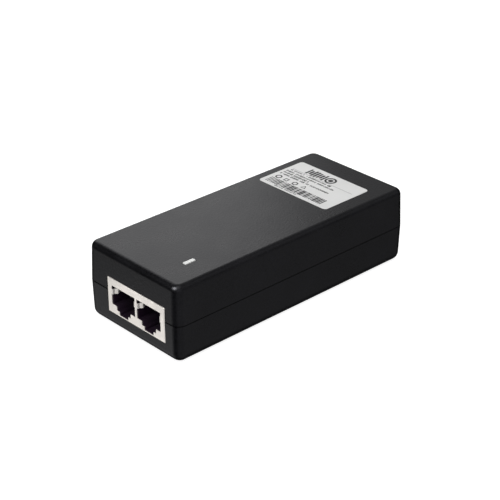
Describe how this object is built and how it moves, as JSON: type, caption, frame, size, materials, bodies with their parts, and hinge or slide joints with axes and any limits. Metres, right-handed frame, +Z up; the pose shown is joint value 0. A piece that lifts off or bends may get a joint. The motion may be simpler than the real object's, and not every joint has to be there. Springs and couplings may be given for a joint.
{
  "type": "poe injector",
  "caption": "Desktop power-over-Ethernet injector: a black two-part case with a shielded twin modular jack, status light, label and rear mains inlet.",
  "frame": {"origin": "centre of the underside, at the middle of the length and width", "axes": "+Y along the case from the jack end (-Y) to the mains inlet end (+Y), +Z up out of the labelled top, +X across to the light's side"},
  "size_m": [0.05, 0.1158, 0.0309],
  "materials": {
    "case_plastic": "fine spark-eroded texture",
    "label_film": "satin printed film",
    "light_lens": "diffusing white epoxy",
    "tinned_copper": "bright tinned",
    "shield_plate": "nickel-plated sheet",
    "jack_nylon": "moulded satin",
    "gold_plate": "gold-plated spring bronze",
    "screw_steel": "zinc plated",
    "board_laminate": "solder mask over glass laminate",
    "insulation_film": "thin polyester sheet",
    "inlet_plastic": "moulded satin",
    "pin_plate": "nickel-plated brass",
    "brown_pvc": "satin insulation",
    "blue_pvc": "satin insulation",
    "green_yellow_pvc": "satin insulation with a stripe",
    "black_sleeve": "shrunk tube",
    "fuse_ceramic": "matt fired tube",
    "thermistor_coat": "dipped coat",
    "varistor_coat": "dipped epoxy coat",
    "film_capacitor_case": "moulded box",
    "green_core_coat": "powder coat over ferrite",
    "yellow_core_coat": "powder coat over iron powder",
    "enamelled_copper": "enamelled winding wire",
    "black_moulding": "moulded epoxy or phenolic",
    "capacitor_sleeve": "printed shrink sleeve on an aluminium can",
    "ferrite": "ground ferrite",
    "yellow_tape": "polyester tape",
    "heatsink_aluminium": "mill extruded",
    "thermal_pad": "silicone pad",
    "chip_ceramic": "sintered chip"
  },
  "bodies": {
    "injector": {"top_shell": "case_plastic", "bottom_shell": "case_plastic", "case_screws": "screw_steel", "rating_label": "label_film", "status_light": "light_lens", "status_light_leads": "tinned_copper", "lead_sleeves": "black_sleeve", "jack_shield": "shield_plate", "jack_insulator": "jack_nylon", "port_1_tails": "gold_plate", "port_2_tails": "gold_plate", "main_board": "board_laminate", "board_screws": "screw_steel", "insulation_sheet": "insulation_film", "inlet_body": "inlet_plastic", "line_pin": "pin_plate", "neutral_pin": "pin_plate", "earth_pin": "pin_plate", "line_wire": "brown_pvc", "neutral_wire": "blue_pvc", "earth_wire": "green_yellow_pvc", "tag_sleeves": "black_sleeve", "fuse_tube": "fuse_ceramic", "fuse_caps": "tinned_copper", "inrush_thermistor": "thermistor_coat", "varistor": "varistor_coat", "x_capacitor": "film_capacitor_case", "filter_core": "green_core_coat", "filter_windings": "enamelled_copper", "filter_base": "black_moulding", "bridge_rectifier": "black_moulding", "bulk_capacitor": "capacitor_sleeve", "transformer_core": "ferrite", "transformer_bobbin": "black_moulding", "transformer_winding": "yellow_tape", "transformer_tape": "yellow_tape", "switch_transistor": "black_moulding", "primary_heatsink": "heatsink_aluminium", "output_rectifier": "black_moulding", "secondary_heatsink": "heatsink_aluminium", "insulating_pads": "thermal_pad", "heatsink_screws": "screw_steel", "pwm_controller": "black_moulding", "y_capacitor": "varistor_coat", "optocoupler": "black_moulding", "output_capacitors": "capacitor_sleeve", "inductor_core": "yellow_core_coat", "inductor_winding": "enamelled_copper", "lan_magnetics": "black_moulding", "pse_controller": "black_moulding", "chip_capacitors": "chip_ceramic", "chip_resistors": "black_moulding", "component_leads": "tinned_copper"},
    "port_1_springs": {"port_1_contacts": "gold_plate"},
    "port_2_springs": {"port_2_contacts": "gold_plate"}
  },
  "joints": [
    {"name": "port_1_spring", "type": "hinge", "parent": "injector", "child": "port_1_springs", "pos_m": [-0.00488, -0.055, 0.01795], "axis": [1, 0, 0], "range_deg": [0, 12], "stiffness_Nm_per_rad": 0.2},
    {"name": "port_2_spring", "type": "hinge", "parent": "injector", "child": "port_2_springs", "pos_m": [0.00908, -0.055, 0.01795], "axis": [1, 0, 0], "range_deg": [0, 12], "stiffness_Nm_per_rad": 0.2}
  ]
}
